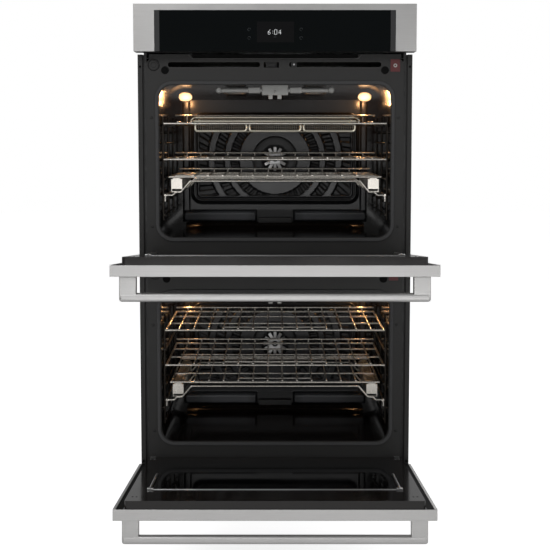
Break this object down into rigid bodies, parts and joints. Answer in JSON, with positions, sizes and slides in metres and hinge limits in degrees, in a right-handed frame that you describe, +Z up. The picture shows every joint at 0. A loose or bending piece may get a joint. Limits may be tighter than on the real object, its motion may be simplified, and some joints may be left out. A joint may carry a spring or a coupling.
{
  "type": "wall oven",
  "caption": "Built-in wall oven unit with stacked convection cavities, drop-down glass doors, wire racks and a black glass control panel above.",
  "frame": {"origin": "middle of the base pan's underside, in the plane of the cabinet's front face", "axes": "+Z up, -Y the way the doors face, +X to the right of someone facing the oven"},
  "size_m": [0.762, 1.1273, 1.3132],
  "materials": {
    "galvanised": "plain zinc-coated sheet",
    "dark_steel": "dark grey satin paint",
    "blanket": "glass wool blanket",
    "stainless": "brushed, horizontal grain",
    "black_glass": "glossy black glass",
    "board_plastic": "moulded",
    "enamel": "glossy dark speckled enamel",
    "cover_enamel": "glossy dark enamel",
    "bright_wire": "bright plated wire",
    "guide_wire": "dark plated wire",
    "heater": "dull grey sheath",
    "fan_metal": "plain",
    "gasket": "woven grey seal",
    "hinge_steel": "plated steel",
    "lamp_glass": "frosted lens"
  },
  "bodies": {
    "chassis": {"air_guide": "dark_steel", "bake_elements": "heater", "base_pan": "dark_steel", "blower_housing": "galvanised", "centre_deck": "galvanised", "conduit_gland": "board_plastic", "control_board": "board_plastic", "control_fascia": "stainless", "control_glass": "black_glass", "control_tray": "galvanised", "cover_screws": "fan_metal", "fan_motors": "fan_metal", "hinge_receivers": "hinge_steel", "insulation": "blanket", "lamps": "lamp_glass", "lower_broil_element": "heater", "lower_cavity": "enamel", "lower_door_gasket": "gasket", "lower_fan_cover": "cover_enamel", "lower_front_frame": "dark_steel", "lower_glide_carrier": "bright_wire", "rack_ladders": "guide_wire", "rear_panel": "galvanised", "ring_elements": "heater", "side_panels": "galvanised", "side_trims": "dark_steel", "top_cover": "galvanised", "upper_broil_element": "heater", "upper_cavity": "enamel", "upper_deck": "galvanised", "upper_door_gasket": "gasket", "upper_fan_cover": "cover_enamel", "upper_front_frame": "dark_steel", "upper_glide_carrier": "bright_wire"},
    "upper_door": {"upper_door_skin": "stainless", "upper_door_glass": "black_glass", "upper_door_liner": "enamel", "upper_door_inner_glass": "black_glass", "upper_door_handle": "stainless", "upper_door_hinges": "hinge_steel"},
    "lower_door": {"lower_door_skin": "stainless", "lower_door_glass": "black_glass", "lower_door_liner": "enamel", "lower_door_inner_glass": "black_glass", "lower_door_handle": "stainless", "lower_door_hinges": "hinge_steel"},
    "upper_top_rack": {"upper_top_rack": "bright_wire", "upper_mesh_tray": "bright_wire"},
    "upper_middle_rack": {"upper_middle_rack": "bright_wire"},
    "upper_glide_rack": {"upper_glide_rack": "bright_wire"},
    "lower_top_rack": {"lower_top_rack": "bright_wire"},
    "lower_middle_rack": {"lower_middle_rack": "bright_wire"},
    "lower_glide_rack": {"lower_glide_rack": "bright_wire"},
    "upper_fan": {"upper_fan_wheel": "fan_metal"},
    "lower_fan": {"lower_fan_wheel": "fan_metal"},
    "blower": {"blower_wheel": "board_plastic"},
    "upper_latch": {"upper_latch_bolt": "hinge_steel"},
    "lower_latch": {"lower_latch_bolt": "hinge_steel"},
    "upper_switch": {"upper_door_switch": "hinge_steel"},
    "lower_switch": {"lower_door_switch": "hinge_steel"}
  },
  "joints": [
    {"name": "upper_door_hinge", "type": "hinge", "parent": "chassis", "child": "upper_door", "pos_m": [0, -0.02, 0.61], "axis": [-1, 0, 0], "range_deg": [0, 85]},
    {"name": "upper_top_rack_slide", "type": "slide", "parent": "chassis", "child": "upper_top_rack", "axis": [0, 1, 0], "range_m": [-0.2, 0]},
    {"name": "upper_middle_rack_slide", "type": "slide", "parent": "chassis", "child": "upper_middle_rack", "axis": [0, 1, 0], "range_m": [-0.2, 0]},
    {"name": "upper_glide_rack_slide", "type": "slide", "parent": "chassis", "child": "upper_glide_rack", "axis": [0, 1, 0], "range_m": [-0.25, 0]},
    {"name": "upper_fan_spin", "type": "hinge", "parent": "chassis", "child": "upper_fan", "pos_m": [0, 0.39, 0.8707], "axis": [0, 1, 0], "continuous": true},
    {"name": "upper_latch_slide", "type": "slide", "parent": "chassis", "child": "upper_latch", "axis": [0, -1, 0], "range_m": [0, 0.012]},
    {"name": "upper_switch_push", "type": "slide", "parent": "chassis", "child": "upper_switch", "axis": [0, 1, 0], "range_m": [0, 0.003], "stiffness_N_per_m": 100, "springref_m": -0.002},
    {"name": "lower_door_hinge", "type": "hinge", "parent": "chassis", "child": "lower_door", "pos_m": [0, -0.02, 0.034], "axis": [-1, 0, 0], "range_deg": [0, 85]},
    {"name": "lower_top_rack_slide", "type": "slide", "parent": "chassis", "child": "lower_top_rack", "axis": [0, 1, 0], "range_m": [-0.2, 0]},
    {"name": "lower_middle_rack_slide", "type": "slide", "parent": "chassis", "child": "lower_middle_rack", "axis": [0, 1, 0], "range_m": [-0.2, 0]},
    {"name": "lower_glide_rack_slide", "type": "slide", "parent": "chassis", "child": "lower_glide_rack", "axis": [0, 1, 0], "range_m": [-0.25, 0]},
    {"name": "lower_fan_spin", "type": "hinge", "parent": "chassis", "child": "lower_fan", "pos_m": [0, 0.39, 0.2947], "axis": [0, 1, 0], "continuous": true},
    {"name": "lower_latch_slide", "type": "slide", "parent": "chassis", "child": "lower_latch", "axis": [0, -1, 0], "range_m": [0, 0.012]},
    {"name": "lower_switch_push", "type": "slide", "parent": "chassis", "child": "lower_switch", "axis": [0, 1, 0], "range_m": [0, 0.003], "stiffness_N_per_m": 100, "springref_m": -0.002},
    {"name": "blower_spin", "type": "hinge", "parent": "chassis", "child": "blower", "pos_m": [0, 0.24, 1.2], "axis": [0, 0, 1], "continuous": true}
  ]
}
